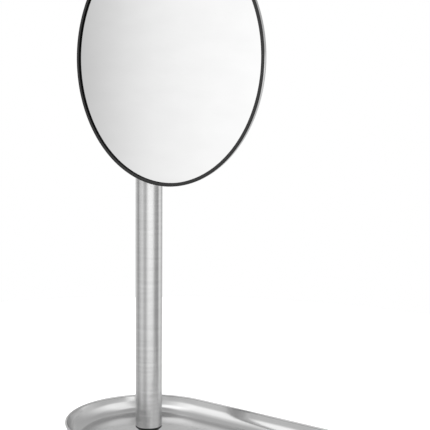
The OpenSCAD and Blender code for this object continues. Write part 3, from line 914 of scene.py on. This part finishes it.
# The studio's light in bands, from below the horizon up to the ceiling. Each band gives the sines of
# the elevations between which the light turns into it, and its brightness at compass bearings in degrees
# anticlockwise from +X. A band with one brightness is even all round. The values were read from measured
# reflections, rounded and then adjusted by trial, and don't follow from a formula.
BANDS = (
    ((-1, -1), [
        (0, 0.72), (200, 0.66), (225, 0.66), (245, 0.5), (258, 0.3), (275, 0.15), (288, 0.25), (305, 0.65),
        (330, 0.75),
    ]),
    ((-0.33, -0.22), [
        (0, 0.7), (45, 0.8), (85, 0.9), (100, 0.7), (110, 0.5), (124, 0.42), (135, 0.6), (146, 0.85),
        (156, 1.15), (166, 1.0), (180, 0.68), (190, 0.64), (198, 0.9), (208, 1.2), (222, 1.35),
        (245, 1.35), (256, 1.25), (264, 0.95), (272, 0.7), (280, 0.6), (292, 0.42), (306, 0.42),
        (315, 1.05), (330, 1.15), (345, 0.8),
    ]),
    ((-0.15, -0.09), [
        (0, 0.6), (20, 0.85), (35, 1.0), (55, 1.0), (80, 0.85), (100, 0.6), (120, 0.38), (127, 0.5),
        (128.5, 0.61), (130, 0.76), (132, 0.91), (134.5, 1.01), (138, 1.08), (144, 0.9), (154, 0.95),
        (160, 1.2), (168, 1.05), (180, 0.7), (190, 0.58), (198, 0.8), (208, 1.55), (222, 2.1),
        (254, 2.1), (262, 1.5), (270, 0.85), (280, 0.58), (294, 0.4), (306, 0.4), (315, 1.2), (332, 1.3),
        (345, 0.7),
    ]),
    ((0.02, 0.085), [
        (0, 0.55), (30, 0.8), (60, 0.8), (100, 0.62), (120, 0.45), (127, 0.53), (128.5, 0.61), (130, 0.76),
        (132, 0.91), (134.5, 1.01), (138, 1.06), (145, 0.72), (160, 0.68), (190, 0.6), (204, 0.9),
        (212, 1.7), (244, 1.7), (257, 0.6), (275, 0.62), (292, 0.65), (310, 0.8), (330, 0.75), (345, 0.58),
    ]),
    ((0.2, 0.38), [
        (0, 0.55), (40, 0.6), (90, 0.6), (105, 0.75), (120, 1.2), (145, 1.45), (170, 1.25), (185, 0.98),
        (200, 0.8), (225, 0.62), (245, 0.8), (258, 1.25), (285, 1.3), (305, 1.05), (325, 0.75), (345, 0.58),
    ]),
    ((0.7, 0.78), [
        (0, 0.55), (90, 0.65), (120, 1.0), (150, 1.6), (190, 1.6), (205, 0.8), (245, 0.7), (260, 1.2),
        (290, 1.2), (310, 0.8), (340, 0.55),
    ]),
    ((0.9, 0.97), [(0, 0.5)]),
)
BRIGHTEST = 2.2


class MIRROR_OT_studio(bpy.types.Operator):
    """Pale floor, soft light and the camera"""
    bl_idname = "mirror.studio"
    bl_label = "Studio"

    def execute(self, context):
        scene = context.scene
        scene.view_settings.view_transform = "Standard"
        self.floor(scene.mirror_looks)
        self.walls(scene)
        self.overhead(scene)
        self.camera(scene)
        return {"FINISHED"}

    def floor(self, looks):
        """A round matt sheet that the part stands on. Metal mirrors the studio and not the sheet."""
        radius, sides = 0.55, 96
        angles = full_turn(sides)
        points = np.column_stack([np.cos(angles), np.sin(angles), np.zeros(sides)]) * radius
        mesh = bpy.data.meshes.new("floor")
        mesh.from_pydata(points, [], [range(sides)])
        floor = bpy.data.objects.new("floor", mesh)
        bpy.context.scene.collection.objects.link(floor)
        floor.visible_glossy = False
        made, tree, where = new_finish("Matt white card")
        fibre = grain(tree, where, 3, detail=3)
        shader = add(tree, "ShaderNodeBsdfPrincipled", {
            "Base Color": tuple(looks.floor_colour),
            "Roughness": between(tree, fibre, 0.8, 0.9),
            "Specular IOR Level": 0.2,
        })
        mesh.materials.append(close_finish(made, shader))

    def walls(self, scene):
        """World light: each band is a ramp round the compass, and the bands turn into each other upwards."""
        world = bpy.data.worlds.new("Studio")
        scene.world = world
        world.use_nodes = True
        tree = world.node_tree
        tree.nodes.clear()
        way = add(tree, "ShaderNodeTexCoord").outputs["Generated"]
        split = add(tree, "ShaderNodeSeparateXYZ", {0: way})
        bearing = add(tree, "ShaderNodeMath", {0: split.outputs["Y"], 1: split.outputs["X"]},
                      operation="ARCTAN2").outputs[0]
        turn = add(tree, "ShaderNodeMath", {0: bearing, 1: 2 * math.pi}, operation="DIVIDE").outputs[0]
        share = add(tree, "ShaderNodeMath", {0: turn, 1: 1.0, 2: 0.0}, operation="WRAP").outputs[0]
        light = None
        for (start, end), stops in BANDS:
            band = self.band(tree, share, stops)
            if light is None:
                light = band
                continue
            climb = add(tree, "ShaderNodeMapRange", {
                "Value": split.outputs["Z"], "From Min": start, "From Max": end,
            }, interpolation_type="SMOOTHSTEP").outputs[0]
            light = add(tree, "ShaderNodeMix", {0: climb, 2: light, 3: band}).outputs[0]
        light = add(tree, "ShaderNodeMath", {0: light, 1: BRIGHTEST}, operation="MULTIPLY").outputs[0]
        camera_ray = add(tree, "ShaderNodeLightPath").outputs["Is Camera Ray"]
        seen = add(tree, "ShaderNodeMix", {0: camera_ray, 2: light, 3: 1.0}).outputs[0]
        background = add(tree, "ShaderNodeBackground", {"Color": seen})
        add(tree, "ShaderNodeOutputWorld", {"Surface": background.outputs[0]})

    def band(self, tree, share, stops):
        """A ramp round the compass that closes on itself."""
        ramp = add(tree, "ShaderNodeValToRGB", {"Fac": share})
        elements = ramp.color_ramp.elements
        closed = stops + [(360, stops[0][1])]
        for bearing, _ in closed[2:]:
            elements.new(bearing / 360)
        for element, (bearing, light) in zip(elements, closed):
            element.position = bearing / 360
            element.color = (*[light / BRIGHTEST] * 3, 1)
        return ramp.outputs["Color"]

    def overhead(self, scene):
        """A wide lamp above that whitens the floor; polished metal doesn't show it."""
        side, watts, place = 1.6, 34, (-0.1, -0.1, 1.5)
        lamp = bpy.data.lights.new("Overhead", "AREA")
        lamp.shape = "RECTANGLE"
        lamp.size, lamp.size_y = side, side
        lamp.energy = watts
        box = bpy.data.objects.new("Overhead", lamp)
        box.location = place
        box.visible_glossy = False
        scene.collection.objects.link(box)

    def camera(self, scene):
        """Stands at a bearing and distance from the column and looks just past it, slightly down."""
        distance, bearing, height = 0.7746, math.radians(220.08), 0.2791
        heading, down, roll = math.radians(36.46), math.radians(7.42), math.radians(0.54)
        view = bpy.data.cameras.new("Camera")
        view.lens = scene.mirror_looks.lens
        view.sensor_width = 36
        view.clip_start, view.clip_end = 0.01, 50
        camera = bpy.data.objects.new("Camera", view)
        level = np.array([math.cos(heading), math.sin(heading), 0])
        ahead = math.cos(down) * level - [0, 0, math.sin(down)]
        right = np.array([math.sin(heading), -math.cos(heading), 0])
        up = np.cross(right, ahead)
        side = math.cos(roll) * right + math.sin(roll) * up
        top = math.cos(roll) * up - math.sin(roll) * right
        matrix = np.eye(4)
        matrix[:3, 0], matrix[:3, 1], matrix[:3, 2] = side, top, -ahead
        matrix[:3, 3] = distance * math.cos(bearing), distance * math.sin(bearing), height
        camera.matrix_world = Matrix(matrix.tolist())
        scene.collection.objects.link(camera)
        scene.camera = camera


# ---------------------------------------------------------------- add-on

GROUPS = (
    ("mirror_tray", MirrorTraySizes), ("mirror_column", MirrorColumnSizes),
    ("mirror_head", MirrorHeadSizes), ("mirror_looks", MirrorLooks),
)
OPERATORS = (
    MIRROR_OT_tray, MIRROR_OT_plinth, MIRROR_OT_post, MIRROR_OT_tube, MIRROR_OT_tilt_pin,
    MIRROR_OT_mirror, MIRROR_OT_tilt_lug, MIRROR_OT_inner_parts, MIRROR_OT_studio,
)


class MIRROR_PT_panel(bpy.types.Panel):
    """Lists the steps of the build and the values they use"""
    bl_label = "Shaving mirror"
    bl_space_type = "VIEW_3D"
    bl_region_type = "UI"
    bl_category = "Shaving mirror"

    def draw(self, context):
        for operator in OPERATORS:
            self.layout.operator(operator.bl_idname)
        for group, kind in GROUPS:
            box = self.layout.box()
            for name in kind.__annotations__:
                box.prop(getattr(context.scene, group), name)


def register():
    """Registers the value groups, the operators and the panel."""
    for group, kind in GROUPS:
        bpy.utils.register_class(kind)
        setattr(bpy.types.Scene, group, bpy.props.PointerProperty(type=kind))
    for kind in (*OPERATORS, MIRROR_PT_panel):
        bpy.utils.register_class(kind)


def unregister():
    """Takes away what register added."""
    for kind in reversed((*OPERATORS, MIRROR_PT_panel)):
        bpy.utils.unregister_class(kind)
    for group, kind in reversed(GROUPS):
        delattr(bpy.types.Scene, group)
        bpy.utils.unregister_class(kind)


def main():
    """Builds every piece and the studio."""
    register()
    for operator in OPERATORS:
        group, name = operator.bl_idname.split(".")
        getattr(getattr(bpy.ops, group), name)()


if __name__ == "__main__":
    main()
